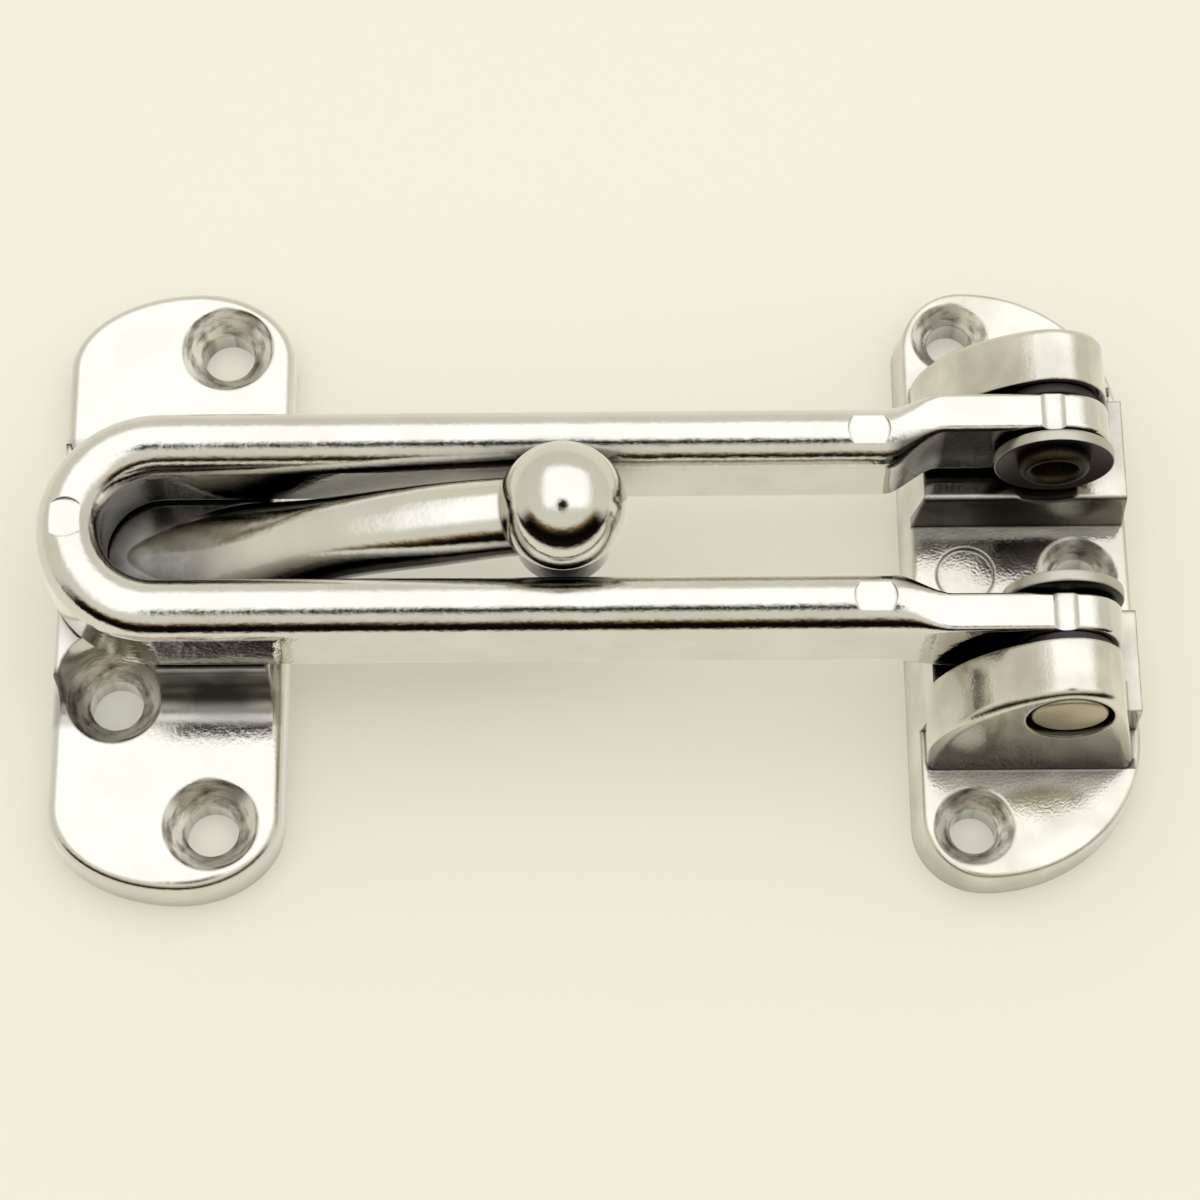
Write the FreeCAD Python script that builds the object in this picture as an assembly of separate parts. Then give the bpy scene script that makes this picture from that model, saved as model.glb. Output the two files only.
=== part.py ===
import FreeCAD, Part
import math
import os

# Swing bar door guard: a hinge base for the door frame, a U-shaped swing bar riveted between its
# ears, and a keeper for the door whose ball rides in the slot of the bar.
# Millimetres and degrees. The hinge rivets share an axis along Y at X = 0, Y = 0 is the middle of
# the guard, Z = 0 is the surface that both plates are screwed to, and the bar lies along -X at rest.

# Swing bar
bar_width = 6.1
bar_height = 9.4
slot_width = 11.3
bar_reach = 98.3
crown_land = 0.1
bar_foot_round = 0.6
jog_start = 16.6
jog_end = 10.8
jog_sections = 7
tab_gap = 16.9
tab_thickness = 3.95
tab_edge_round = 0.6
tab_nose = 0.8
tab_dip_width = 2.4
tab_dip_depth = 0.4
leg_mark_diameter = 4.1
leg_mark_from_pin = 18.2

# Keeper
keeper_width = 23.0
keeper_length = 64.8
keeper_thickness = 4.7
keeper_draft = 2.0
keeper_edge_round = 1.2
keeper_corner_width = 9.9
keeper_corner_length = 7.9
keeper_sweep = 8.8
pad_width = 24.8
pad_height = 10.7
pad_foot_radius = 2.7
pad_inset = 1.1
pad_edge_round = 0.5
keeper_hole_from_end = 6.8
keeper_hole_inset = 6.9
pad_hole_spacing = 25.0
pad_hole_inset = 16.7
keeper_screw_bore = 5.2
keeper_countersink = 9.4
ball_diameter = 12.3
ball_height = 22.0
ball_reach = 27.4
ball_to_pin = 47.7
neck_clearance = 0.75
neck_bottom = 13.4
neck_edge_round = 1.5
arm_diameter = 7.8
arm_root_width = 11.6
arm_root_flare = 4.0
arm_bend_radius = 80.0
arm_end_drop = 2.0
arm_end_angle = 6.0
arm_root_angle = 31.0
arm_sections = 5
arm_toe_from_edge = 6.0
arm_toe_size = 1.6
arm_toe_sink = 1.0
arm_toe_angle = 12.0
arm_toe_sections = 2

# Hinge base
base_length = 63.4
base_inner_edge = 14.0
base_outer_edge = 8.5
base_thickness = 4.5
base_draft = 2.0
base_inner_draft = 11.0
base_edge_round = 0.5
base_corner_width = 6.9
base_corner_length = 6.6
base_sweep = 14.6
channel_width = 10.4
channel_wall_draft = 8.0
shoulder_height = 9.6
shoulder_inset = 0.6
shoulder_edge_round = 0.6
washer_relief = 0.95
ear_thickness = 6.1
ear_draft = 5.0
ear_crest_radius = 5.3
ear_crest_start = 112.0
ear_inner_foot = 12.7
ear_outer_foot = 7.4
ear_back_bulge = 3.2
ear_edge_round = 0.9
base_hole_from_end = 5.4
base_hole_inset = 5.75
middle_hole_x = 3.2
base_screw_bore = 4.6
base_countersink = 7.9
channel_mark_diameter = 5.8
channel_mark_from_pin = 7.9

# Hinge rivets and washers
rivet_diameter = 6.0
rivet_head_diameter = 7.3
rivet_head_thickness = 1.6
rivet_head_inset = 0.15
counterbore_diameter = 8.4
clinch_diameter = 7.0
clinch_length = 1.3
clinch_bore = 4.4
clinch_bore_depth = 4.2
clinch_edge_round = 0.5
spring_washer_diameter = 11.7
spring_washer_thickness = 1.2
spring_washer_dish = 0.5
friction_washer_diameter = 9.0
friction_washer_thickness = 1.0

# Fits and shared values
mark_depth = 0.35
bar_rest_gap = 0.3
running_clearance = 0.05
side_clearance = 0.05
countersink_angle = 90.0

# Places worked out from the sizes above
bar_bottom = pad_height + bar_rest_gap
bar_top = bar_bottom + bar_height
pin_height = bar_bottom + bar_height / 2
leg_inner = slot_width / 2
leg_outer = leg_inner + bar_width
leg_middle = leg_inner + bar_width / 2
crown_radius = (bar_width - crown_land) / 2
bend_x = leg_outer - bar_reach
tab_inner = tab_gap / 2
tab_outer = tab_inner + tab_thickness
ear_inner = tab_outer + friction_washer_thickness + 2 * side_clearance
ear_outer = ear_inner + ear_thickness
pin_bore_radius = rivet_diameter / 2 + running_clearance
head_outer = ear_outer - rivet_head_inset
head_inner = head_outer - rivet_head_thickness
washer_seat = tab_inner - side_clearance
clinch_seat = washer_seat - spring_washer_thickness
clinch_end = clinch_seat - clinch_length
ball_x = -ball_to_pin
keeper_inner_x = ball_x - ball_reach
keeper_outer_x = keeper_inner_x - keeper_width
keeper_hole_x = keeper_inner_x - keeper_hole_inset
keeper_hole_y = keeper_length / 2 - keeper_hole_from_end
pad_hole_x = keeper_inner_x - pad_hole_inset
pad_hole_y = pad_hole_spacing / 2
base_hole_x = base_hole_inset - base_inner_edge
base_hole_y = base_length / 2 - base_hole_from_end

# How close two places have to be to count as the same when edges are picked
SAME_PLACE = 0.01
X_AXIS = FreeCAD.Vector(1, 0, 0)
Y_AXIS = FreeCAD.Vector(0, 1, 0)
Z_AXIS = FreeCAD.Vector(0, 0, 1)
ORIGIN = FreeCAD.Vector(0, 0, 0)


def point(x, y, z):
    return FreeCAD.Vector(x, y, z)


def slope(angle):
    """Sideways run for each millimetre of height at this draft angle."""
    return math.tan(math.radians(angle))


def mirrored(shape):
    """The same shape on the other side of the guard's middle plane."""
    return shape.mirror(ORIGIN, Y_AXIS)


def line(start, end):
    return Part.LineSegment(start, end).toShape()


def arc(start, middle, end):
    return Part.Arc(start, middle, end).toShape()


def quarter_arc(centre, first, last):
    """Quarter circle, or ellipse if the radii differ, from one radius to another at right angles."""
    if abs(first.Length - last.Length) < SAME_PLACE:
        middle = (first + last) * math.sqrt(0.5)
        return arc(centre + first, centre + middle, centre + last)
    curve = Part.BezierCurve()
    curve.setPoles([centre + first, centre + first + last, centre + last])
    curve.setWeight(2, math.sqrt(0.5))
    return curve.toShape()


def closed_face(corners):
    """Flat face with straight sides between these corner points."""
    return Part.Face(Part.makePolygon(corners + corners[:1]))


def rounded_wire(corners):
    """Closed wire of quarter arcs, each given as (centre, first radius, last radius), and lines."""
    edges = []
    for index, (centre, first, last) in enumerate(corners):
        next_centre, next_first, next_last = corners[(index + 1) % len(corners)]
        start = centre + last
        end = next_centre + next_first
        edges.append(quarter_arc(centre, first, last))
        if start.distanceToPoint(end) > SAME_PLACE:
            edges.append(line(start, end))
    return Part.Wire(edges)


def rounded_section(x, y_low, y_high, z_low, z_high, foot_round, top_round):
    """Wire across X: an upright rectangle with its own radius at the foot and at the top."""
    out_foot = Y_AXIS * foot_round
    out_top = Y_AXIS * top_round
    down = Z_AXIS * -foot_round
    up = Z_AXIS * top_round
    foot_z = z_low + foot_round
    top_z = z_high - top_round
    return rounded_wire([
        (point(x, y_high - foot_round, foot_z), down, out_foot),
        (point(x, y_high - top_round, top_z), out_top, up),
        (point(x, y_low + top_round, top_z), up, -out_top),
        (point(x, y_low + foot_round, foot_z), -out_foot, down),
    ])


def plate_outline(x_inner, x_outer, length, corners, z):
    """Wire round a plate: at each end an oval corner that runs into a wider sweeping one."""
    corner_width, corner_length, sweep = corners
    outward = X_AXIS * math.copysign(1, x_outer - x_inner)
    sweep_width = abs(x_outer - x_inner) - corner_width
    rounds = []
    for end in (Y_AXIS, -Y_AXIS):
        top_of_end = point(x_inner, 0, z) + outward * corner_width + end * (length / 2)
        inner_centre = top_of_end - end * corner_length
        outer_centre = top_of_end - end * sweep
        rounds.append((inner_centre, outward * -corner_width, end * corner_length))
        rounds.append((outer_centre, end * sweep, outward * sweep_width))
    far_inner, far_outer, near_inner, near_outer = rounds
    way_back = [(centre, last, first) for centre, first, last in (near_outer, near_inner)]
    return rounded_wire([far_inner, far_outer] + way_back)


def plate(x_inner, x_outer, length, thickness, corners, drafts, edge_round):
    """Cast plate whose walls lean in towards the top, with its top edge rounded."""
    corner_width, corner_length, sweep = corners
    inner_draft, draft = drafts
    outward = math.copysign(1, x_outer - x_inner)
    lean = thickness * slope(draft)
    inner_lean = thickness * slope(inner_draft)
    top_inner = x_inner + outward * inner_lean
    top_outer = x_outer - outward * lean
    top_corners = (corner_width - inner_lean, corner_length - lean, sweep - lean)
    foot = plate_outline(x_inner, x_outer, length, corners, 0)
    top = plate_outline(top_inner, top_outer, length - 2 * lean, top_corners, thickness)
    solid = Part.makeLoft([foot, top], True, True)
    top_edges = [edge for edge in solid.Edges if edge.BoundBox.ZMin > thickness - SAME_PLACE]
    return solid.makeFillet(edge_round, top_edges)


def countersunk_hole(x, y, thickness, bore, countersink):
    """Tool that cuts a through hole with a cone at the plate's face and clears what stands over it."""
    cone_depth = (countersink - bore) / 2 / slope(countersink_angle / 2)
    shank = Part.makeCylinder(bore / 2, thickness, point(x, y, 0))
    cone = Part.makeCone(bore / 2, countersink / 2, cone_depth, point(x, y, thickness - cone_depth))
    head_room = Part.makeCylinder(countersink / 2, bar_bottom, point(x, y, thickness))
    return shank.fuse([cone, head_room])


def turned_about_pin(profile):
    """Solid turned about the hinge axis from (distance along Y, radius) corner points."""
    corners = [point(0, y, pin_height + radius) for y, radius in profile]
    return closed_face(corners).revolve(point(0, 0, pin_height), Y_AXIS, 360)


def cylinder_about_pin(radius, y_low, y_high):
    return Part.makeCylinder(radius, y_high - y_low, point(0, y_low, pin_height), Y_AXIS)


def make_leg():
    """One side of the bar: straight leg, soft jog out to the tab, a shallow dip and the tab's round end."""
    sections = []
    for index in range(jog_sections):
        share = index / (jog_sections - 1)
        ease = share ** 2 * (3 - 2 * share)
        x = -jog_start + share * (jog_start - jog_end)
        y_low = leg_inner + ease * (tab_inner - leg_inner)
        y_high = leg_outer + ease * (tab_outer - leg_outer)
        foot_round = bar_foot_round + ease * (tab_edge_round - bar_foot_round)
        top_round = crown_radius + ease * (tab_edge_round - crown_radius)
        sections.append(rounded_section(x, y_low, y_high, bar_bottom, bar_top, foot_round, top_round))
    leg = Part.Face(sections[0]).extrude(X_AXIS * (bend_x + jog_start))
    jog = Part.makeLoft(sections, True, False)
    tab_start = sections[-1]
    tab_reach = X_AXIS * (jog_end + tab_nose)
    tab = Part.Face(tab_start).extrude(tab_reach)
    tab_section = Part.Face(tab_start.translated(tab_reach))
    above_pin = Part.makeBox(2 * bar_height, 2 * tab_outer, bar_height, point(-bar_height, 0, pin_height))
    tab_end = tab_section.common(above_pin).revolve(point(tab_nose, 0, pin_height), Y_AXIS, 180)
    side = leg.fuse([jog, tab, tab_end])
    dip_radius = (tab_dip_width ** 2 / 4 + tab_dip_depth ** 2) / (2 * tab_dip_depth)
    dip_centre = point(tab_nose - tab_dip_width / 2, 0, bar_top - tab_dip_depth + dip_radius)
    dip = Part.makeCylinder(dip_radius, 2 * tab_outer, dip_centre, Y_AXIS)
    return side.cut([cylinder_about_pin(pin_bore_radius, 0, 2 * tab_outer), dip])


def make_swing_bar():
    """U-shaped cast bar: two legs joined by the bend, with flat round marks on its crown."""
    bend_section = rounded_section(bend_x, leg_inner, leg_outer, bar_bottom, bar_top,
                                   bar_foot_round, crown_radius)
    bend = Part.Face(bend_section).revolve(point(bend_x, 0, 0), Z_AXIS, 180)
    side = make_leg()
    bar = bend.fuse([side, mirrored(side)]).removeSplitter()
    marks = [(-leg_mark_from_pin, leg_middle), (-leg_mark_from_pin, -leg_middle), (bend_x - leg_middle, 0)]
    for x, y in marks:
        mark = Part.makeCylinder(leg_mark_diameter / 2, bar_height, point(x, y, bar_top - mark_depth))
        bar = bar.cut(mark)
    return bar


def oval_section(centre, climb, width, height):
    """Oval wire square to the keeper's arm where it climbs at this angle."""
    angle = math.radians(climb)
    upward = point(-math.sin(angle), 0, math.cos(angle)) * (height / 2)
    sideways = Y_AXIS * (width / 2)
    return rounded_wire([
        (centre, sideways, upward),
        (centre, upward, -sideways),
        (centre, -sideways, -upward),
        (centre, -upward, sideways),
    ])


def arm_centre(climb):
    """Place on the arm's curved middle line where it climbs at this angle."""
    end_angle = math.radians(arm_end_angle)
    angle = math.radians(climb)
    x = ball_x + arm_bend_radius * (math.sin(end_angle) - math.sin(angle))
    z = ball_height - arm_end_drop - arm_bend_radius * (math.cos(end_angle) - math.cos(angle))
    return point(x, 0, z)


def make_arm():
    """Arm that starts as a pointed toe on the pad, widens to its root and curves up to the ball."""
    toe = point(keeper_outer_x + arm_toe_from_edge, 0, pad_height - arm_toe_sink - arm_toe_size / 2)
    root = arm_centre(arm_root_angle)
    sections = []
    for index in range(arm_toe_sections):
        share = index / arm_toe_sections
        climb = arm_toe_angle + share * (arm_root_angle - arm_toe_angle)
        width = arm_toe_size + math.sqrt(share) * (arm_root_width - arm_toe_size)
        height = arm_toe_size + share * (arm_diameter - arm_toe_size)
        sections.append(oval_section(toe + (root - toe) * share, climb, width, height))
    for index in range(arm_sections):
        share = 1 - index / (arm_sections - 1)
        climb = arm_end_angle + share * (arm_root_angle - arm_end_angle)
        width = arm_diameter + (arm_root_width - arm_diameter) * share ** arm_root_flare
        sections.append(oval_section(arm_centre(climb), climb, width, arm_diameter))
    return Part.makeLoft(sections, True, False)


def make_knob():
    """Ball on a short round neck, turned about the upright line through the ball."""
    radius = ball_diameter / 2
    neck_radius = slot_width / 2 - neck_clearance
    neck_top = ball_height - math.sqrt(radius ** 2 - neck_radius ** 2)
    diagonal = math.sqrt(0.5) * radius
    top = point(ball_x, 0, ball_height + radius)
    outer = point(ball_x + diagonal, 0, ball_height + diagonal)
    joined = point(ball_x + neck_radius, 0, neck_top)
    round_centre = point(ball_x + neck_radius - neck_edge_round, 0, neck_bottom + neck_edge_round)
    side_foot = round_centre + X_AXIS * neck_edge_round
    foot = round_centre - Z_AXIS * neck_edge_round
    axis_foot = point(ball_x, 0, neck_bottom)
    wire = Part.Wire([
        arc(top, outer, joined),
        line(joined, side_foot),
        quarter_arc(round_centre, X_AXIS * neck_edge_round, Z_AXIS * -neck_edge_round),
        line(foot, axis_foot),
        line(axis_foot, top),
    ])
    return Part.Face(wire).revolve(point(ball_x, 0, 0), Z_AXIS, 360)


def make_pad():
    """Raised block across the keeper, with a hollow fillet where it runs out into the plate."""
    half = pad_width / 2
    left = keeper_outer_x + pad_inset
    sunk = keeper_thickness / 2
    hollow_centre = point(left, half + pad_foot_radius, keeper_thickness + pad_foot_radius)
    toe = hollow_centre - Z_AXIS * pad_foot_radius
    wall_foot = hollow_centre - Y_AXIS * pad_foot_radius
    wall_top = point(left, half, pad_height)
    under_toe = point(left, toe.y, sunk)
    edges = []
    for edge in (line(under_toe, toe),
                 quarter_arc(hollow_centre, Z_AXIS * -pad_foot_radius, Y_AXIS * -pad_foot_radius),
                 line(wall_foot, wall_top)):
        edges.append(edge)
        edges.append(mirrored(edge))
    edges.append(line(wall_top, point(left, -half, pad_height)))
    edges.append(line(under_toe, point(left, -toe.y, sunk)))
    face = Part.Face(Part.Wire(Part.__sortEdges__(edges)))
    block = face.extrude(X_AXIS * (keeper_width - 2 * pad_inset))
    top_edges = [edge for edge in block.Edges if edge.BoundBox.ZMin > pad_height - SAME_PLACE]
    return block.makeFillet(pad_edge_round, top_edges)


def make_keeper():
    """Door plate cast in one with its pad, curved arm and ball."""
    corners = (keeper_corner_width, keeper_corner_length, keeper_sweep)
    body = plate(keeper_inner_x, keeper_outer_x, keeper_length, keeper_thickness, corners,
                 (keeper_draft, keeper_draft), keeper_edge_round)
    body = body.fuse([make_pad(), make_arm(), make_knob()])
    for hole_x, hole_y in ((keeper_hole_x, keeper_hole_y), (pad_hole_x, pad_hole_y)):
        hole = countersunk_hole(hole_x, hole_y, keeper_thickness, keeper_screw_bore, keeper_countersink)
        body = body.cut([hole, mirrored(hole)])
    return body.removeSplitter()


def make_shoulder():
    """Raised block beside the channel, under one tab of the bar, with a hollow for the washer's rim."""
    half = channel_width / 2
    lean = (shoulder_height - base_thickness) * slope(channel_wall_draft)
    right = base_outer_edge - shoulder_inset
    outer = ear_inner + ear_thickness / 2
    sunk = base_thickness / 2
    block = closed_face([
        point(right, half, sunk),
        point(right, half, base_thickness),
        point(right, half + lean, shoulder_height),
        point(right, outer, shoulder_height),
        point(right, outer, sunk),
    ]).extrude(X_AXIS * (-base_inner_edge - right))
    outside = Part.makeBox(base_length, base_length, base_length, point(-base_length, 0, -base_thickness))
    outside.rotate(ORIGIN, Y_AXIS, base_inner_draft)
    outside.translate(point(-base_inner_edge, 0, 0))
    block = block.cut(outside)
    inner_top = []
    for edge in block.Edges:
        box = edge.BoundBox
        if box.ZMin > shoulder_height - SAME_PLACE and box.YMax < half + lean + SAME_PLACE:
            inner_top.append(edge)
    block = block.makeFillet(shoulder_edge_round, inner_top)
    relief_radius = spring_washer_diameter / 2 + washer_relief
    return block.cut(cylinder_about_pin(relief_radius, 0, ear_inner))


def make_ear():
    """Upright fin that carries one rivet: round over the pin, long curved back, leaning outer face."""
    rise = pin_height - base_thickness
    start = math.radians(ear_crest_start)
    finish = math.acos(ear_crest_radius / math.hypot(ear_outer_foot, rise)) - math.atan2(rise, ear_outer_foot)
    crest = []
    for angle in (start, (start + finish) / 2, finish):
        around = point(math.cos(angle), 0, math.sin(angle))
        crest.append(point(0, ear_inner, pin_height) + around * ear_crest_radius)
    inner_foot = point(-ear_inner_foot, ear_inner, base_thickness)
    outer_foot = point(ear_outer_foot, ear_inner, base_thickness)
    sink = Z_AXIS * (-base_thickness / 2)
    chord = crest[0] - inner_foot
    square_to_chord = point(-chord.z, 0, chord.x).normalize()
    back_middle = (inner_foot + crest[0]) * 0.5 + square_to_chord * ear_back_bulge
    wire = Part.Wire([
        arc(inner_foot, back_middle, crest[0]),
        arc(*crest),
        line(crest[2], outer_foot),
        line(outer_foot, outer_foot + sink),
        line(outer_foot + sink, inner_foot + sink),
        line(inner_foot + sink, inner_foot),
    ])
    fin = Part.Face(wire).extrude(Y_AXIS * (ear_thickness + bar_top * slope(ear_draft)))
    middle = point(-base_length / 2, 0, -base_length / 2)
    outside = Part.makeBox(base_length, base_length, base_length, middle)
    outside.rotate(ORIGIN, X_AXIS, ear_draft)
    outside.translate(point(0, ear_outer, pin_height))
    fin = fin.cut(outside)
    outer_face = max(fin.Faces, key=lambda face: face.CenterOfMass.y)
    rim = [edge for edge in outer_face.Edges if edge.BoundBox.ZMin > base_thickness - SAME_PLACE]
    return fin.makeFillet(ear_edge_round, rim)


def make_hinge_base():
    """Frame plate cast in one with the two ears and the shoulders beside its channel."""
    corners = (base_corner_width, base_corner_length, base_sweep)
    body = plate(-base_inner_edge, base_outer_edge, base_length, base_thickness, corners,
                 (base_inner_draft, base_draft), base_edge_round)
    raised = make_shoulder().fuse(make_ear())
    body = body.fuse([raised, mirrored(raised)])
    pin_bore = cylinder_about_pin(pin_bore_radius, 0, head_outer)
    counterbore = cylinder_about_pin(counterbore_diameter / 2, head_inner, head_inner + ear_thickness)
    end_hole = countersunk_hole(base_hole_x, base_hole_y, base_thickness, base_screw_bore, base_countersink)
    for tool in (pin_bore, counterbore, end_hole):
        body = body.cut([tool, mirrored(tool)])
    middle_hole = countersunk_hole(middle_hole_x, 0, base_thickness, base_screw_bore, base_countersink)
    mark = Part.makeCylinder(channel_mark_diameter / 2, base_thickness,
                             point(-channel_mark_from_pin, 0, base_thickness - mark_depth))
    return body.cut([middle_hole, mark]).removeSplitter()


def make_rivet():
    """Hinge rivet: flat head sunk in the ear, plain shank, hollow end rolled over the washer."""
    shank = rivet_diameter / 2
    rivet = turned_about_pin([
        (head_outer, 0),
        (head_outer, rivet_head_diameter / 2),
        (head_inner, rivet_head_diameter / 2),
        (head_inner, shank),
        (clinch_seat, shank),
        (clinch_seat, clinch_diameter / 2),
        (clinch_end, clinch_diameter / 2),
        (clinch_end, clinch_bore / 2),
        (clinch_end + clinch_bore_depth, clinch_bore / 2),
        (clinch_end + clinch_bore_depth, 0),
    ])
    rolled_rim = []
    for edge in rivet.Edges:
        box = edge.BoundBox
        full_width = abs(box.ZLength - clinch_diameter) < SAME_PLACE
        if full_width and abs(box.YMax - clinch_end) < SAME_PLACE:
            rolled_rim.append(edge)
    return rivet.makeFillet(clinch_edge_round, rolled_rim)


def make_spring_washer():
    """Dished steel washer: its middle bears on the tab and its rim stands off."""
    return turned_about_pin([
        (washer_seat, pin_bore_radius),
        (washer_seat, clinch_diameter / 2),
        (washer_seat - spring_washer_dish, spring_washer_diameter / 2),
        (clinch_seat - spring_washer_dish, spring_washer_diameter / 2),
        (clinch_seat, clinch_diameter / 2),
        (clinch_seat, pin_bore_radius),
    ])


def make_friction_washer():
    """Thin flat washer in the gap between an ear and its tab."""
    inner_face = tab_outer + side_clearance
    outer_face = inner_face + friction_washer_thickness
    return turned_about_pin([
        (inner_face, pin_bore_radius),
        (inner_face, friction_washer_diameter / 2),
        (outer_face, friction_washer_diameter / 2),
        (outer_face, pin_bore_radius),
    ])


pieces = {
    "hinge_base": make_hinge_base(),
    "swing_bar": make_swing_bar(),
    "keeper": make_keeper(),
}
for name, shape in (("rivet", make_rivet()), ("spring_washer", make_spring_washer()),
                    ("friction_washer", make_friction_washer())):
    pieces["upper_" + name] = shape
    pieces["lower_" + name] = mirrored(shape)

os.makedirs("parts", exist_ok=True)
for node, shape in pieces.items():
    shape.exportStep("parts/" + node + ".step")
    box = shape.BoundBox
    print(f"{node:24s} solids {len(shape.Solids)} valid {shape.isValid()} volume {shape.Volume:9.2f} "
          f"x {box.XMin:.2f} {box.XMax:.2f} y {box.YMin:.2f} {box.YMax:.2f} z {box.ZMin:.2f} {box.ZMax:.2f}")
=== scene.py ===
import math

import bpy
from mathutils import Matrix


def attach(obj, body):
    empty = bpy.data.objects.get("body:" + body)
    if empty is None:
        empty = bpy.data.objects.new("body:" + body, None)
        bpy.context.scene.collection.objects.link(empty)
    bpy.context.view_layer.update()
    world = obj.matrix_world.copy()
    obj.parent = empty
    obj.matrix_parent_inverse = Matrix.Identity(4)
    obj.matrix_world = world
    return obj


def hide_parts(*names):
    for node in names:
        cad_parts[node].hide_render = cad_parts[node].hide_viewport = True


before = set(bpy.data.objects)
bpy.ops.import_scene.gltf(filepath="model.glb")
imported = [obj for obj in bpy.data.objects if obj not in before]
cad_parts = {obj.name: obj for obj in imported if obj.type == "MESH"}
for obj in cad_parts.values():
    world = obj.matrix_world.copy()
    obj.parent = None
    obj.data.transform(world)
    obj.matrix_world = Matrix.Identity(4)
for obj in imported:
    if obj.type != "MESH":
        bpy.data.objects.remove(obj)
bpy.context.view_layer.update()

# Hinge base: a zinc die casting that is screwed to the door frame, a plate with two shoulders, a
# channel between them and two ears for the rivets. It is chromed straight over the cast skin, and
# its screw holes are countersunk after casting.
MM = 0.001


def srgb(text):
    """A hex colour as the linear values that a shader takes."""
    parts = [int(text[i:i + 2], 16) / 255 for i in (1, 3, 5)]
    return [p / 12.92 if p <= 0.04045 else ((p + 0.055) / 1.055) ** 2.4 for p in parts] + [1.0]


def add(tree, kind, settings=None, links=None):
    """A new node; settings fill its properties or input sockets, links join outputs to its inputs."""
    node = tree.nodes.new(kind)
    for name, value in (settings or {}).items():
        if isinstance(name, int) or name in node.inputs:
            node.inputs[name].default_value = value
        else:
            setattr(node, name, value)
    for name, source in (links or {}).items():
        tree.links.new(source, node.inputs[name])
    return node


def new_material(name):
    """A material with an empty node tree, and that tree."""
    material = bpy.data.materials.new(name)
    material.use_nodes = True
    material.node_tree.nodes.clear()
    return material, material.node_tree


def inside_box(tree, amount, axes, box):
    """An amount that holds inside a box and fades out round it; box is (middle, half, fade) per axis."""
    for axis, (middle, half, fade) in zip(axes, box):
        off = add(tree, "ShaderNodeMath", {"operation": "SUBTRACT", 1: middle * MM}, {0: axis})
        off = add(tree, "ShaderNodeMath", {"operation": "ABSOLUTE"}, {0: off.outputs[0]})
        within = add(tree, "ShaderNodeMapRange", {"From Min": (half + fade) * MM, "From Max": half * MM},
                     {"Value": off.outputs[0]})
        amount = add(tree, "ShaderNodeMath", {"operation": "MULTIPLY"},
                     {0: amount, 1: within.outputs["Result"]}).outputs[0]
    return amount


# Cut zinc in the countersinks: duller than the plating, grey and white in broken rings. Real chatter
# is about 0.2 mm wide and is drawn coarser, so that it shows.
CHATTER_WIDTH = 0.8
CHATTER_SPREAD = 1.1
CHATTER_EDGES = (0.36, 0.55)
CHATTER_DEPTH = 0.03
CUT_ROUGHNESS = 0.28
CUT_DARK = "#78746A"
CUT_LIGHT = "#EFECE3"


def countersink(tree, flat, cut, depth, hole, radius, colour, rough, normal):
    """Lays the cut marks of one countersink, with painted shade deeper in its cone, over a casting's colour,
    roughness and normal.
    """
    from_hole = add(tree, "ShaderNodeVectorMath",
                    {"operation": "SUBTRACT", 1: (hole[0] * MM, hole[1] * MM, 0)},
                    {0: flat}).outputs["Vector"]
    reach = add(tree, "ShaderNodeVectorMath", {"operation": "LENGTH"}, {0: from_hole}).outputs["Value"]
    near = add(tree, "ShaderNodeMath", {"operation": "LESS_THAN", 1: radius * MM}, {0: reach})
    inside = add(tree, "ShaderNodeMath", {"operation": "MULTIPLY"},
                 {0: near.outputs[0], 1: cut}).outputs[0]

    # the chatter is looked up by the direction from the hole, so that it closes round the cone
    spoke = add(tree, "ShaderNodeVectorMath", {"operation": "NORMALIZE"}, {0: from_hole})
    turn = add(tree, "ShaderNodeSeparateXYZ", None, {"Vector": spoke.outputs["Vector"]})
    ring = add(tree, "ShaderNodeMath", {"operation": "DIVIDE", 1: CHATTER_WIDTH * MM}, {0: reach})
    path = add(tree, "ShaderNodeCombineXYZ", None,
               {"X": turn.outputs["X"], "Y": turn.outputs["Y"], "Z": ring.outputs[0]})
    chatter = add(tree, "ShaderNodeTexNoise", {"Scale": CHATTER_SPREAD, "Detail": 4.0, "Roughness": 0.6},
                  {"Vector": path.outputs["Vector"]}).outputs["Fac"]
    mark = add(tree, "ShaderNodeMapRange",
               {"From Min": CHATTER_EDGES[0], "From Max": CHATTER_EDGES[1]}, {"Value": chatter})
    cone = add(tree, "ShaderNodeMixRGB", {"Color1": srgb(CUT_DARK), "Color2": srgb(CUT_LIGHT)},
               {"Fac": mark.outputs["Result"]})
    # painted shade, darker the more closed in the cone is
    shaded = add(tree, "ShaderNodeMixRGB", {"blend_type": "MULTIPLY", "Fac": 1.0},
                 {"Color1": cone.outputs["Color"], "Color2": depth})
    colour = add(tree, "ShaderNodeMixRGB", None,
                 {"Fac": inside, "Color1": colour, "Color2": shaded.outputs["Color"]}).outputs["Color"]
    rough = add(tree, "ShaderNodeMix", {"B": CUT_ROUGHNESS},
                {"Factor": inside, "A": rough}).outputs["Result"]
    groove = add(tree, "ShaderNodeMath", {"operation": "MULTIPLY"}, {0: inside, 1: chatter})
    normal = add(tree, "ShaderNodeBump", {"Strength": 1.0, "Distance": CHATTER_DEPTH * MM},
                 {"Height": groove.outputs[0], "Normal": normal}).outputs["Normal"]
    return colour, rough, normal


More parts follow.
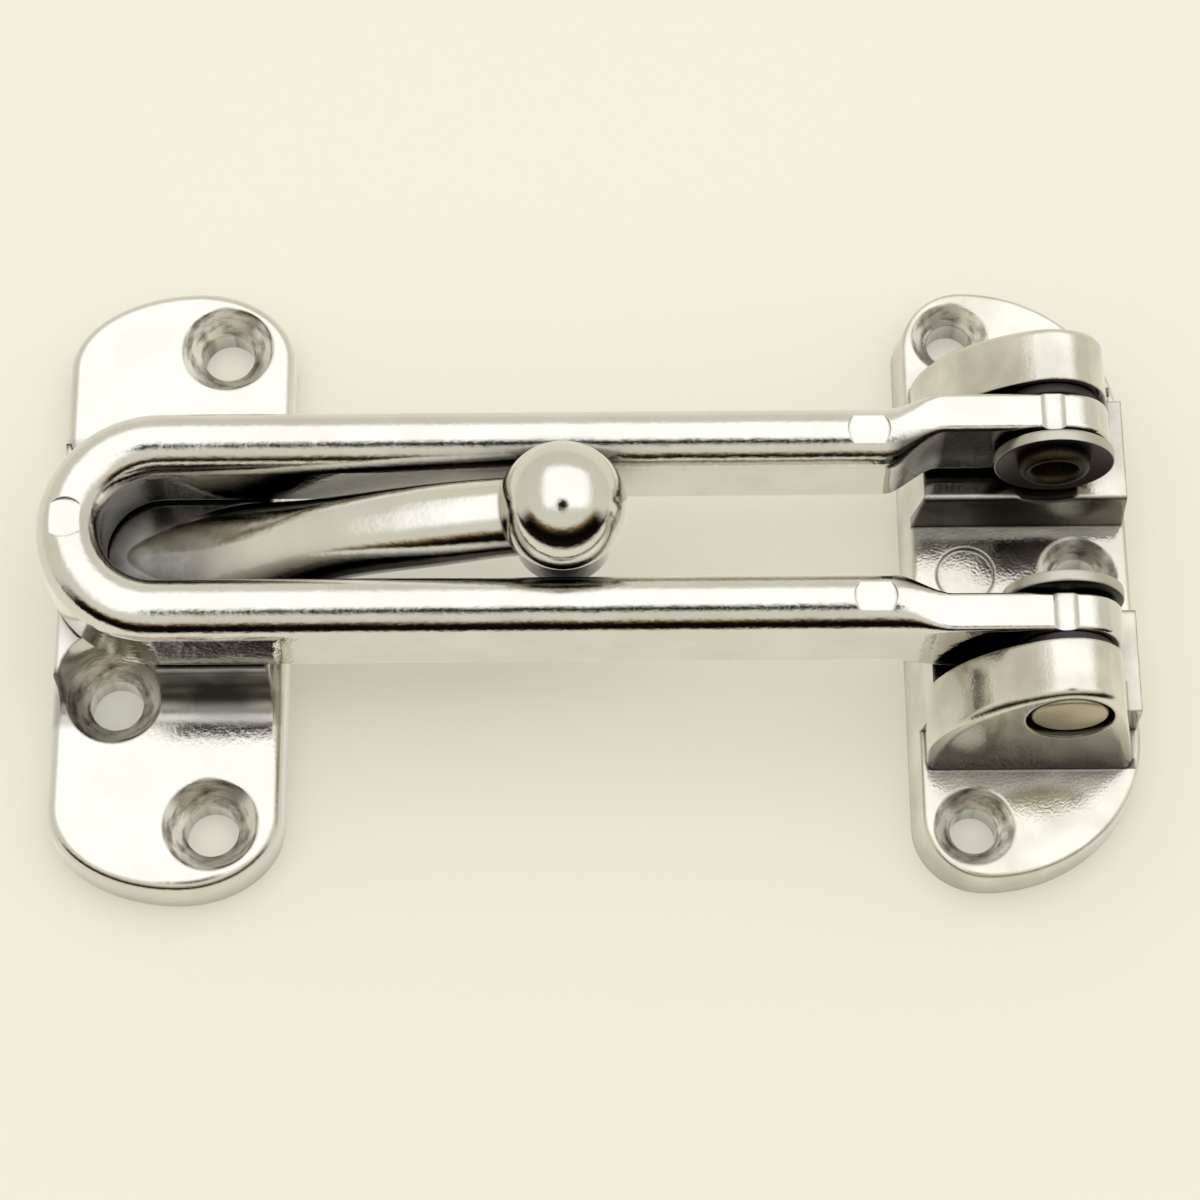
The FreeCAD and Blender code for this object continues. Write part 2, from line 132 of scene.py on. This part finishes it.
# Real pimples of the cast skin are about 0.05 mm wide, and real wiping marks finer still. Both are
# drawn coarser, so that they show. Clouds and waves have about their real width.
CLOUD_WIDTH = 6.0
CLOUD_EDGES = (0.35, 0.65)
WIPE_WIDTH = 0.25
WIPE_TO_GRAIN_DEPTH = 0.25
# how much painted shade corners and countersink cones get, by how closed in they are
CORNER_EDGES = (0.28, 0.72)
CORNER_LIGHT = 0.06
CONE_EDGES = (0.15, 0.6)
CONE_LIGHT = 0.35
SHADE_PATCH_SHARE = (0.55, 0.9)
HOLLOW_SHADE = "#1D1B16"
FACE_MARGIN = 0.03


def plated_casting(name, light, shade, rough, grain, ripple, wiping, worn_edge, corner, dull_shaded_places,
                   holes=(), cone_radius=0.0, plate_top=0.0):
    """Chrome over die-cast zinc: a mirror, seen through the pimples and slow waves of the cast skin.

    Lengths are in mm. Light and shade colour the clouds of the plating, and rough is the range of its
    roughness. Grain and ripple are (width, depth) of the pimples and of the waves, and wiping is how
    many times finer the wiping marks are along Y than along X. Worn_edge is the radius of the edges,
    and corner is how far off a wall still darkens a corner with painted shade. A dull shaded place is
    a box of (middle, half, fade) in x, |y| and z, where shade is painted dark in patches, and its
    roughness. Holes are the (x, |y|) of the countersinks, whose cones get painted shade too.
    """
    material, tree = new_material(name)
    place = add(tree, "ShaderNodeTexCoord").outputs["Object"]
    whole = add(tree, "ShaderNodeSeparateXYZ", None, {"Vector": place})
    folded = add(tree, "ShaderNodeVectorMath", {"operation": "ABSOLUTE"}, {0: place})
    half = add(tree, "ShaderNodeSeparateXYZ", None, {"Vector": folded.outputs["Vector"]})
    grain_width, grain_depth = grain
    ripple_width, ripple_depth = ripple
    pimples = add(tree, "ShaderNodeTexNoise", {"Scale": 1 / (grain_width * MM), "Detail": 1.0},
                  {"Vector": place}).outputs["Fac"]
    waves = add(tree, "ShaderNodeTexNoise", {"Scale": 1 / (ripple_width * MM), "Detail": 1.0},
                {"Vector": place}).outputs["Fac"]
    clouds = add(tree, "ShaderNodeTexNoise", {"Scale": 1 / (CLOUD_WIDTH * MM), "Detail": 3.0},
                 {"Vector": place}).outputs["Fac"]
    drawn = add(tree, "ShaderNodeMapping", {"Scale": (1, wiping, 1)}, {"Vector": place})
    wipes = add(tree, "ShaderNodeTexNoise", {"Scale": 1 / (WIPE_WIDTH * MM), "Detail": 2.0},
                {"Vector": drawn.outputs["Vector"]}).outputs["Fac"]

    # the plating is thinner in clouds, and corners get painted shade by how closed in they are
    closeness = add(tree, "ShaderNodeAmbientOcclusion", {"Distance": corner * MM, "samples": 5})
    openness = closeness.outputs["AO"]
    corner_shade = add(tree, "ShaderNodeMapRange",
                  {"From Min": CORNER_EDGES[0], "From Max": CORNER_EDGES[1], "To Min": CORNER_LIGHT},
                  {"Value": openness})
    cloudy = add(tree, "ShaderNodeMapRange",
                 {"From Min": CLOUD_EDGES[0], "From Max": CLOUD_EDGES[1]}, {"Value": clouds})
    tone = add(tree, "ShaderNodeMixRGB", {"Color1": srgb(shade), "Color2": srgb(light)},
               {"Fac": cloudy.outputs["Result"]})
    colour = add(tree, "ShaderNodeMixRGB", {"blend_type": "MULTIPLY", "Fac": 1.0},
                 {"Color1": tone.outputs["Color"], "Color2": corner_shade.outputs["Result"]}).outputs["Color"]
    speckle = add(tree, "ShaderNodeMath", {"operation": "MULTIPLY_ADD", 1: 0.5}, {0: pimples, 2: clouds})
    gloss = add(tree, "ShaderNodeMapRange",
                {"From Min": 0.45, "From Max": 1.05, "To Min": rough[0], "To Max": rough[1]},
                {"Value": speckle.outputs[0]}).outputs["Result"]

    # hollow places are duller, and get painted shade in dark patches
    patches = add(tree, "ShaderNodeMapRange",
                  {"From Min": CLOUD_EDGES[0], "From Max": CLOUD_EDGES[1],
                   "To Min": SHADE_PATCH_SHARE[0], "To Max": SHADE_PATCH_SHARE[1]}, {"Value": clouds})
    axes = (whole.outputs["X"], half.outputs["Y"], whole.outputs["Z"])
    for *box, dull in dull_shaded_places:
        painted_shade = inside_box(tree, patches.outputs["Result"], axes, box)
        # painted shade: the box is darkened towards a near-black colour
        colour = add(tree, "ShaderNodeMixRGB", {"Color2": srgb(HOLLOW_SHADE)},
                     {"Fac": painted_shade, "Color1": colour}).outputs["Color"]
        gloss = add(tree, "ShaderNodeMix", {"B": dull}, {"Factor": painted_shade, "A": gloss}).outputs["Result"]

    # worn edges, then waves, wiping marks and pimples on top of each other
    edge = add(tree, "ShaderNodeBevel", {"samples": 4, "Radius": worn_edge * MM})
    skin = edge.outputs["Normal"]
    for height, relief in ((waves, ripple_depth), (wipes, WIPE_TO_GRAIN_DEPTH * grain_depth),
                           (pimples, grain_depth)):
        skin = add(tree, "ShaderNodeBump", {"Strength": 1.0, "Distance": relief * MM},
                   {"Height": height, "Normal": skin}).outputs["Normal"]

    # the holes lie in mirrored pairs, so each is looked up on the +Y side, between the plate's faces
    if holes:
        flat = add(tree, "ShaderNodeCombineXYZ", None, {"X": whole.outputs["X"], "Y": half.outputs["Y"]})
        middle = plate_top / 2
        cut = add(tree, "ShaderNodeMath",
                  {"operation": "COMPARE", 1: middle * MM, 2: (middle - FACE_MARGIN) * MM},
                  {0: whole.outputs["Z"]})
        # painted shade in the countersink cones, by how closed in they are
        depth = add(tree, "ShaderNodeMapRange",
                    {"From Min": CONE_EDGES[0], "From Max": CONE_EDGES[1], "To Min": CONE_LIGHT},
                    {"Value": openness})
    for hole in holes:
        colour, gloss, skin = countersink(tree, flat.outputs["Vector"], cut.outputs[0],
                                          depth.outputs["Result"], hole, cone_radius, colour, gloss, skin)

    shader = add(tree, "ShaderNodeBsdfPrincipled", {"Metallic": 1.0},
                 {"Base Color": colour, "Roughness": gloss, "Normal": skin})
    add(tree, "ShaderNodeOutputMaterial", None, {"Surface": shader.outputs["BSDF"]})
    return material


def dress(node, material):
    """Gives a node of the frame its finish."""
    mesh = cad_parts[node].data
    mesh.materials.clear()
    mesh.materials.append(material)


# Plain chrome over the cast skin: bright, but blurred by its grain and cloudy, with painted shade in its
# hollows.
# painted shade, in dark patches, on the walls of the channel and at the feet of the ears
CHANNEL_WALLS = [(0, 50, 1), (5.6, 0.6, 0.1), (7.0, 2.4, 0.2), 0.24]
EAR_FEET = [(-2.5, 10, 0.3), (20.05, 0.52, 0.06), (4.5, 1.5, 11), 0.2]
base_finish = plated_casting("Chrome_on_plain_cast_zinc", light="#DFDBD0", shade="#C6C2B6",
                             rough=(0.09, 0.2), grain=(0.30, 0.011), ripple=(3.0, 0.028), wiping=0.08,
                             worn_edge=0.4, corner=8, dull_shaded_places=[CHANNEL_WALLS, EAR_FEET],
                             holes=[(-8.25, 26.3), (3.2, 0)], cone_radius=3.95, plate_top=4.5)
dress("hinge_base", base_finish)

# Hinge rivets: turned steel, a flat head sunk in the ear and a hollow end that is rolled over the
# spring washer. The head is plain steel gone matt, and the rolled end is coloured dark brown.
PIN_HEIGHT = 15.7
PIN_SIDES = 96
MERGE_DISTANCE = 0.002
SHARP_ANGLE = 50
SMOOTH_ANGLE = 40


def turned_piece(name, rings):
    """Draws a circle out from ring to ring about the pin, each (place along the pin, radius) in mm."""
    bpy.ops.object.select_all(action="DESELECT")
    place, radius = rings[0]
    bpy.ops.mesh.primitive_circle_add(vertices=PIN_SIDES, radius=radius * MM, fill_type="NOTHING",
                                      location=(0, place * MM, PIN_HEIGHT * MM),
                                      rotation=(math.radians(90), 0, 0))
    piece = bpy.context.object
    piece.name = name
    bpy.ops.object.mode_set(mode="EDIT")
    bpy.ops.mesh.select_all(action="SELECT")
    for (y0, r0), (y1, r1) in zip(rings, rings[1:]):
        bpy.ops.mesh.extrude_region_move(TRANSFORM_OT_translate={"value": (0, (y1 - y0) * MM, 0)})
        bpy.ops.transform.resize(value=(r1 / r0, 1, r1 / r0))
    bpy.ops.mesh.select_all(action="SELECT")
    bpy.ops.mesh.remove_doubles(threshold=MERGE_DISTANCE * MM)
    bpy.ops.mesh.select_all(action="DESELECT")
    bpy.ops.mesh.select_non_manifold()
    bpy.ops.mesh.edge_face_add()
    bpy.ops.mesh.select_all(action="SELECT")
    bpy.ops.mesh.normals_make_consistent(inside=False)
    bpy.ops.object.mode_set(mode="OBJECT")
    bpy.ops.object.transform_apply(location=True, rotation=True, scale=True)
    return piece


def soften(piece, width, segments):
    """Rounds the sharp edges of a piece, to a width in mm, and shades the rest smooth."""
    bpy.ops.object.select_all(action="DESELECT")
    piece.select_set(True)
    bpy.context.view_layer.objects.active = piece
    bevel = piece.modifiers.new("soft_edges", "BEVEL")
    bevel.width = width * MM
    bevel.segments = segments
    bevel.limit_method = "ANGLE"
    bevel.angle_limit = math.radians(SHARP_ANGLE)
    bpy.ops.object.modifier_apply(modifier=bevel.name)
    bpy.ops.object.shade_smooth_by_angle(angle=math.radians(SMOOTH_ANGLE))


def other_side(piece, name):
    """A mirrored copy of a piece, on the far side of the guard's middle plane."""
    bpy.ops.object.select_all(action="DESELECT")
    piece.select_set(True)
    bpy.context.view_layer.objects.active = piece
    bpy.ops.object.duplicate()
    copy = bpy.context.object
    copy.name = name
    bpy.ops.object.mode_set(mode="EDIT")
    bpy.ops.mesh.select_all(action="SELECT")
    bpy.ops.transform.resize(value=(1, -1, 1), center_override=(0, 0, 0))
    bpy.ops.mesh.normals_make_consistent(inside=False)
    bpy.ops.object.mode_set(mode="OBJECT")
    return copy


# Turned steel without plating: a soft yellowish sheen on the head, nearly black in the rolled end.
# Its specks are finer than a tenth of a millimetre and are drawn coarser, so that they show.
STEEL_SPECK = 0.25
SPECK_DEPTH = 0.01
END_FADE = (8.0, 9.0)
rivet_steel, tree = new_material("Bare_turned_steel")
place = add(tree, "ShaderNodeTexCoord").outputs["Object"]
axes = add(tree, "ShaderNodeSeparateXYZ", None, {"Vector": place})
along = add(tree, "ShaderNodeMath", {"operation": "ABSOLUTE"}, {0: axes.outputs["Y"]})
head_share = add(tree, "ShaderNodeMapRange", {"From Min": END_FADE[0] * MM, "From Max": END_FADE[1] * MM},
            {"Value": along.outputs[0]})
speck = add(tree, "ShaderNodeTexNoise", {"Scale": 1 / (STEEL_SPECK * MM), "Detail": 4.0},
            {"Vector": place}).outputs["Fac"]
head_tone = add(tree, "ShaderNodeMixRGB", {"Color1": srgb("#B0A68B"), "Color2": srgb("#D0C7AD")},
                {"Fac": speck})
end_tone = add(tree, "ShaderNodeMixRGB", {"Color1": srgb("#191510"), "Color2": srgb("#4C4334")},
               {"Fac": speck})
tone = add(tree, "ShaderNodeMixRGB", None,
           {"Fac": head_share.outputs["Result"], "Color1": end_tone.outputs["Color"],
            "Color2": head_tone.outputs["Color"]})
scratch = add(tree, "ShaderNodeBump", {"Strength": 1.0, "Distance": SPECK_DEPTH * MM}, {"Height": speck})
dull = add(tree, "ShaderNodeMapRange", {"To Min": 0.36, "To Max": 0.54}, {"Value": speck})
shader = add(tree, "ShaderNodeBsdfPrincipled", {"Metallic": 1.0},
             {"Base Color": tone.outputs["Color"], "Roughness": dull.outputs["Result"],
              "Normal": scratch.outputs["Normal"]})
add(tree, "ShaderNodeOutputMaterial", None, {"Surface": shader.outputs["BSDF"]})

HEAD_FACE = 19.45
HEAD_SEAT = 17.85
HEAD_RADIUS = 3.65
SHANK_RADIUS = 3.0
ROLL_SEAT = 7.2
HOLLOW_FLOOR = 10.1
HEAD_EDGE = [(HEAD_FACE, 3.35), (19.30, 3.58), (19.1, HEAD_RADIUS)]
ROLLED_LIP = [(6.75, 3.5), (6.40, 3.44), (6.10, 3.25), (5.93, 2.98), (5.90, 2.75), (5.98, 2.5),
              (6.25, 2.3), (6.7, 2.2)]
upper_rivet = turned_piece("upper_hinge_rivet", [
    *HEAD_EDGE, (HEAD_SEAT, HEAD_RADIUS), (HEAD_SEAT, SHANK_RADIUS), (ROLL_SEAT, SHANK_RADIUS),
    (ROLL_SEAT, ROLLED_LIP[0][1]), *ROLLED_LIP, (HOLLOW_FLOOR, ROLLED_LIP[-1][1])])
soften(upper_rivet, width=0.08, segments=2)
upper_rivet.data.materials.append(rivet_steel)
lower_rivet = other_side(upper_rivet, "lower_hinge_rivet")
for piece, node in ((upper_rivet, "upper_rivet"), (lower_rivet, "lower_rivet")):
    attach(piece, "hinge_base")
    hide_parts(node)

# Spring washers: stamped and dished spring steel between the rolled rivet end and the tab, hollow
# towards the channel. The face is dark from hardening, the rim is bright where it was sheared.
WASHER_HOLE = 3.05
WASHER_RADIUS = 5.85
TAB_FACE = [(8.4, 3.5), (8.36, 4.0), (8.26, 4.6), (8.1, 5.2), (7.93, 5.66), (7.8, 5.8)]
RIM = [(7.6, WASHER_RADIUS), (6.95, WASHER_RADIUS)]
CHANNEL_FACE = [(6.78, 5.8), (6.7, 5.66), (6.84, 5.2), (7.02, 4.6), (7.14, 4.0), (7.2, 3.5)]
SHEARED_FROM = 5.70
SHEARED_FULL = 5.80
# Hardened steel: a dark, slightly cloudy face. The clouds of the scale are near their real size.
SCALE_CLOUD = 0.5
SCALE_DEPTH = 0.012
washer_steel, tree = new_material("Hardened_spring_steel")
place = add(tree, "ShaderNodeTexCoord").outputs["Object"]
moved = add(tree, "ShaderNodeMapping", {"Location": (0, 0, -PIN_HEIGHT * MM)}, {"Vector": place})
axes = add(tree, "ShaderNodeSeparateXYZ", None, {"Vector": moved.outputs["Vector"]})
plane = add(tree, "ShaderNodeCombineXYZ", {"Y": 0.0}, {"X": axes.outputs["X"], "Z": axes.outputs["Z"]})
reach = add(tree, "ShaderNodeVectorMath", {"operation": "LENGTH"}, {0: plane.outputs["Vector"]})
sheared = add(tree, "ShaderNodeMapRange", {"From Min": SHEARED_FROM * MM, "From Max": SHEARED_FULL * MM},
              {"Value": reach.outputs["Value"]})
mottle = add(tree, "ShaderNodeTexNoise", {"Scale": 1 / (SCALE_CLOUD * MM), "Detail": 4.0},
             {"Vector": place}).outputs["Fac"]
face_tone = add(tree, "ShaderNodeMixRGB", {"Color1": srgb("#1B1916"), "Color2": srgb("#3F3B34")},
                {"Fac": mottle})
tone = add(tree, "ShaderNodeMixRGB", {"Color2": srgb("#BAB6AB")},
           {"Fac": sheared.outputs["Result"], "Color1": face_tone.outputs["Color"]})
dull = add(tree, "ShaderNodeMapRange", {"To Min": 0.28, "To Max": 0.45}, {"Value": mottle})
grit = add(tree, "ShaderNodeBump", {"Strength": 1.0, "Distance": SCALE_DEPTH * MM}, {"Height": mottle})
shader = add(tree, "ShaderNodeBsdfPrincipled", {"Metallic": 1.0},
             {"Base Color": tone.outputs["Color"], "Roughness": dull.outputs["Result"],
              "Normal": grit.outputs["Normal"]})
add(tree, "ShaderNodeOutputMaterial", None, {"Surface": shader.outputs["BSDF"]})

tab_edge = (TAB_FACE[0][0], WASHER_HOLE)
channel_edge = (CHANNEL_FACE[-1][0], WASHER_HOLE)
upper_spring = turned_piece("upper_spring_washer_piece",
                            [tab_edge, *TAB_FACE, *RIM, *CHANNEL_FACE, channel_edge, tab_edge])
soften(upper_spring, width=0.06, segments=2)
upper_spring.data.materials.append(washer_steel)
lower_spring = other_side(upper_spring, "lower_spring_washer_piece")
for piece, node in ((upper_spring, "upper_spring_washer"), (lower_spring, "lower_spring_washer")):
    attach(piece, "hinge_base")
    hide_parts(node)

# Friction washers: black nylon discs, moulded, that fill the gap between each ear and its tab and
# keep the bar from swinging by itself. They sit on the rivet's shank and are held by the squeeze.
DISC_RADIUS = 4.5
DISC_TAB_SIDE = 12.45
DISC_EAR_SIDE = 13.45
# Nylon: black with a faint grey bloom and a half-dull moulded skin. The bloom is drawn coarser than
# the real one, so that it shows.
BLOOM_WIDTH = 0.4
NYLON_IOR = 1.53
nylon, tree = new_material("Black_moulded_nylon")
place = add(tree, "ShaderNodeTexCoord").outputs["Object"]
bloom = add(tree, "ShaderNodeTexNoise", {"Scale": 1 / (BLOOM_WIDTH * MM), "Detail": 3.0},
            {"Vector": place}).outputs["Fac"]
tone = add(tree, "ShaderNodeMixRGB", {"Color1": srgb("#0D0D0C"), "Color2": srgb("#1E1D1B")}, {"Fac": bloom})
dull = add(tree, "ShaderNodeMapRange", {"To Min": 0.38, "To Max": 0.6}, {"Value": bloom})
shader = add(tree, "ShaderNodeBsdfPrincipled", {"IOR": NYLON_IOR},
             {"Base Color": tone.outputs["Color"], "Roughness": dull.outputs["Result"]})
add(tree, "ShaderNodeOutputMaterial", None, {"Surface": shader.outputs["BSDF"]})

upper_disc = turned_piece("upper_friction_disc", [
    (DISC_TAB_SIDE, WASHER_HOLE), (DISC_TAB_SIDE, DISC_RADIUS), (DISC_EAR_SIDE, DISC_RADIUS),
    (DISC_EAR_SIDE, WASHER_HOLE), (DISC_TAB_SIDE, WASHER_HOLE)])
soften(upper_disc, width=0.15, segments=3)
upper_disc.data.materials.append(nylon)
lower_disc = other_side(upper_disc, "lower_friction_disc")
for piece, node in ((upper_disc, "upper_friction_washer"), (lower_disc, "lower_friction_washer")):
    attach(piece, "hinge_base")
    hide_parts(node)

# Swing bar: a zinc die casting with its two hinge tabs, tumbled and buffed along its length before
# a bright chrome plating. It mirrors the room as long bands, broken by the slow ripple that buffing
# leaves on a casting. The inner faces of the tabs are duller and get painted shade.
BRIGHT_LIGHT = "#DCDAD2"
BRIGHT_SHADE = "#D5D2CA"
BRIGHT_ROUGHNESS = (0.03, 0.07)
BUFF_LINES = 8.0
# painted shade on the inner faces of the tabs
TAB_INNER_FACES = [(0, 15, 1.5), (7.0, 1.5, 0.1), (PIN_HEIGHT, 4.3, 0.4), 0.24]
bar_finish = plated_casting("Bright_chrome_on_buffed_bar", light=BRIGHT_LIGHT, shade=BRIGHT_SHADE,
                            rough=BRIGHT_ROUGHNESS, grain=(0.6, 0.020), ripple=(5.0, 0.08),
                            wiping=BUFF_LINES, worn_edge=0.2, corner=7, dull_shaded_places=[TAB_INNER_FACES])
dress("swing_bar", bar_finish)

# Keeper: a zinc die casting that is screwed to the door, a plate with a pad, an arm and a ball. It
# is buffed and chromed like the bar, so it mirrors the room as clearly. The toe of the arm and the
# hollow foot of the pad are duller with painted shade, and the countersinks show grey cut marks.
# painted shade at the toe of the arm and at the hollow foot of the pad
ARM_TOE = [(-92, 6, 8), (0, 5.0, 0.8), (12.2, 1.8, 1.0), 0.24]
PAD_FOOT = [(-90, 50, 1), (13.6, 1.4, 0.8), (8.6, 3.0, 1.8), 0.55]
keeper_finish = plated_casting("Bright_chrome_on_buffed_keeper", light=BRIGHT_LIGHT, shade=BRIGHT_SHADE,
                               rough=BRIGHT_ROUGHNESS, grain=(0.5, 0.010), ripple=(5.0, 0.05),
                               wiping=BUFF_LINES, worn_edge=0.4, corner=6, dull_shaded_places=[ARM_TOE, PAD_FOOT],
                               holes=[(-82.0, 25.6), (-91.8, 12.5)], cone_radius=4.7, plate_top=4.7)
dress("keeper", keeper_finish)

# Table: a sheet of cream paper, seen a little brighter than it is lit so that it stays pale, and
# still carrying the guard's shadow. Ahead of the guard it is painted dark for mirrors only, as painted shade
# under the tent's opening.
TABLE_SIZE = 4000.0
GUARD_MIDDLE = -44.0
SEEN_GLOW = 0.36
MIRRORED_GLOW = 0.39
GLOOM_FROM = -60.0
GLOOM_FULL = -110.0
bpy.ops.object.select_all(action="DESELECT")
bpy.ops.mesh.primitive_plane_add(size=TABLE_SIZE * MM, location=(GUARD_MIDDLE * MM, 0, 0))
floor = bpy.context.object
floor.name = "floor"
bpy.ops.object.transform_apply()
# Uncoated paper: matt and even, with no pattern that shows from here.
paper, tree = new_material("Cream_paper")
rays = add(tree, "ShaderNodeLightPath")
mirrored = add(tree, "ShaderNodeMath", {"operation": "MAXIMUM"},
               {0: rays.outputs["Is Glossy Ray"], 1: rays.outputs["Is Transmission Ray"]}).outputs[0]
shown = add(tree, "ShaderNodeMath", {"operation": "MAXIMUM"},
            {0: rays.outputs["Is Camera Ray"], 1: mirrored})
share = add(tree, "ShaderNodeMath", {"operation": "MULTIPLY", 1: SEEN_GLOW}, {0: shown.outputs[0]})
share = add(tree, "ShaderNodeMath", {"operation": "MULTIPLY_ADD", 1: MIRRORED_GLOW},
            {0: mirrored, 2: share.outputs[0]})
place = add(tree, "ShaderNodeTexCoord").outputs["Object"]
axes = add(tree, "ShaderNodeSeparateXYZ", None, {"Vector": place})
# painted shade: ahead of the guard the table shows dark to mirrored rays only
ahead = add(tree, "ShaderNodeMapRange",
            {"interpolation_type": "SMOOTHSTEP", "From Min": GLOOM_FROM * MM, "From Max": GLOOM_FULL * MM},
            {"Value": axes.outputs["Y"]})
unlit = add(tree, "ShaderNodeMath", {"operation": "MULTIPLY"}, {0: ahead.outputs["Result"], 1: mirrored})
matt = add(tree, "ShaderNodeBsdfPrincipled", {"Base Color": srgb("#E2DECD"), "Roughness": 0.9})
glow = add(tree, "ShaderNodeEmission", {"Color": srgb("#FBF9EA"), "Strength": 1.0})
gloom = add(tree, "ShaderNodeEmission", {"Color": srgb("#15110C"), "Strength": 1.0})
pale = add(tree, "ShaderNodeMixShader", None, {0: share.outputs[0], 1: matt.outputs[0], 2: glow.outputs[0]})
both = add(tree, "ShaderNodeMixShader", None, {0: unlit.outputs[0], 1: pale.outputs[0], 2: gloom.outputs[0]})
add(tree, "ShaderNodeOutputMaterial", None, {"Surface": both.outputs[0]})
floor.data.materials.append(paper)

# Studio: a cream tent lit by one soft panel overhead. The tent is open low in front, which draws
# the dark line along every rounded edge, and the camera stands as a dim patch above the opening.
PANEL_PLACE = (GUARD_MIDDLE, 200.0, 600.0)
PANEL_SIZE = 500.0
PANEL_LEVEL = 0.45
bpy.ops.object.select_all(action="DESELECT")
bpy.ops.object.light_add(type="AREA", location=[p * MM for p in PANEL_PLACE])
panel = bpy.context.object
panel.name = "overhead_panel"
panel.data.shape = "RECTANGLE"
panel.data.size = PANEL_SIZE * MM
panel.data.size_y = PANEL_SIZE * MM
panel.data.energy = (PANEL_SIZE * MM) ** 2 * math.pi * PANEL_LEVEL
panel.visible_glossy = False


def fill_ramp(ramp, stops):
    """Sets the (place, colour) stops of a colour ramp."""
    while len(ramp.elements) < len(stops):
        ramp.elements.new(0.5)
    for element, (at, colour) in zip(ramp.elements, stops):
        element.position = at
        element.color = srgb(colour)


world = bpy.data.worlds.new("Cream_tent")
bpy.context.scene.world = world
world.use_nodes = True
tree = world.node_tree
tree.nodes.clear()
direction = add(tree, "ShaderNodeTexCoord").outputs["Generated"]
axes = add(tree, "ShaderNodeSeparateXYZ", None, {"Vector": direction})
wall = add(tree, "ShaderNodeValToRGB", None, {"Fac": axes.outputs["Z"]})
fill_ramp(wall.color_ramp, [(0.0, "#EAE7DA"), (0.4, "#EBE8DC"), (0.75, "#EEEBE0"), (1.0, "#F2F0E6")])

# the panel as metal mirrors it, brighter than white and so in linear light, with soft edges by how
# far aside or behind they lie for each unit up
PANEL_GLOW = (1.50, 1.51, 1.50, 1.0)
aside = add(tree, "ShaderNodeMath", {"operation": "DIVIDE"}, {0: axes.outputs["X"], 1: axes.outputs["Z"]})
behind = add(tree, "ShaderNodeMath", {"operation": "DIVIDE"}, {0: axes.outputs["Y"], 1: axes.outputs["Z"]})
lit = add(tree, "ShaderNodeMath", {"operation": "GREATER_THAN", 1: 0.0}, {0: axes.outputs["Z"]})
PANEL_EDGES = ((aside, 1.6, 0.7), (aside, -0.9, -0.5), (behind, -0.75, -0.35), (behind, 1.5, 1.0))
for source, dark, bright in PANEL_EDGES:
    edge = add(tree, "ShaderNodeMapRange",
               {"interpolation_type": "SMOOTHSTEP", "From Min": dark, "From Max": bright},
               {"Value": source.outputs[0]})
    lit = add(tree, "ShaderNodeMath", {"operation": "MULTIPLY"},
              {0: lit.outputs[0], 1: edge.outputs["Result"]})
tent = add(tree, "ShaderNodeMixRGB", {"Color2": PANEL_GLOW},
           {"Fac": lit.outputs[0], "Color1": wall.outputs["Color"]})

# the camera's dim patch, full within one angle and gone past the other
CAMERA_SIDE = (0.0, -0.395, 0.919)
PATCH_FULL = math.cos(math.radians(7))
PATCH_GONE = math.cos(math.radians(13))
length = math.hypot(*CAMERA_SIDE)
near = add(tree, "ShaderNodeVectorMath", {"operation": "DOT_PRODUCT", 1: [v / length for v in CAMERA_SIDE]},
           {0: direction})
dim = add(tree, "ShaderNodeMapRange",
          {"interpolation_type": "SMOOTHSTEP", "From Min": PATCH_GONE, "From Max": PATCH_FULL},
          {"Value": near.outputs["Value"]})
tent = add(tree, "ShaderNodeMixRGB", {"Color2": srgb("#26221C")},
           {"Fac": dim.outputs["Result"], "Color1": tent.outputs["Color"]})

# the opening, black at the table and brown towards its upper edge; each edge runs from tent to dark
OPENING_SIDES = (-0.15, -0.5)
OPENING_TOP = (0.50, 0.44)
opening = add(tree, "ShaderNodeValToRGB", None, {"Fac": axes.outputs["Z"]})
fill_ramp(opening.color_ramp, [(0.0, "#0B0907"), (0.22, "#0F0C08"), (0.31, "#4A3A22"), (0.38, "#8F7850"),
                               (0.48, "#EBE8DC")])
front = add(tree, "ShaderNodeMapRange",
            {"interpolation_type": "SMOOTHSTEP", "From Min": OPENING_SIDES[0], "From Max": OPENING_SIDES[1]},
            {"Value": axes.outputs["Y"]})
low = add(tree, "ShaderNodeMapRange",
          {"interpolation_type": "SMOOTHSTEP", "From Min": OPENING_TOP[0], "From Max": OPENING_TOP[1]},
          {"Value": axes.outputs["Z"]})
slit = add(tree, "ShaderNodeMath", {"operation": "MULTIPLY"},
           {0: front.outputs["Result"], 1: low.outputs["Result"]})
opened = add(tree, "ShaderNodeMixRGB", None,
             {"Fac": slit.outputs[0], "Color1": tent.outputs["Color"], "Color2": opening.outputs["Color"]})
background = add(tree, "ShaderNodeBackground", {"Strength": 1.0}, {"Color": opened.outputs["Color"]})
add(tree, "ShaderNodeOutputWorld", None, {"Surface": background.outputs[0]})

# Camera: in front of the guard and high above it, with a long lens. Its place and turn were fitted
# to the guard's outlines in the photograph.
CAMERA_PLACE = (-44.765, -136.315, 324.155)
CAMERA_TURN = (22.7298, 0.0858, -0.4388)
SENSOR_WIDTH = 36.0
FOCAL_LENGTH = 104.97
NEAREST = 10.0
bpy.ops.object.camera_add(location=[p * MM for p in CAMERA_PLACE],
                          rotation=[math.radians(a) for a in CAMERA_TURN])
camera = bpy.context.object
camera.name = "camera"
camera.data.sensor_width = SENSOR_WIDTH
camera.data.lens = FOCAL_LENGTH
camera.data.clip_start = NEAREST * MM
bpy.context.scene.camera = camera
bpy.context.scene.view_settings.view_transform = "Standard"
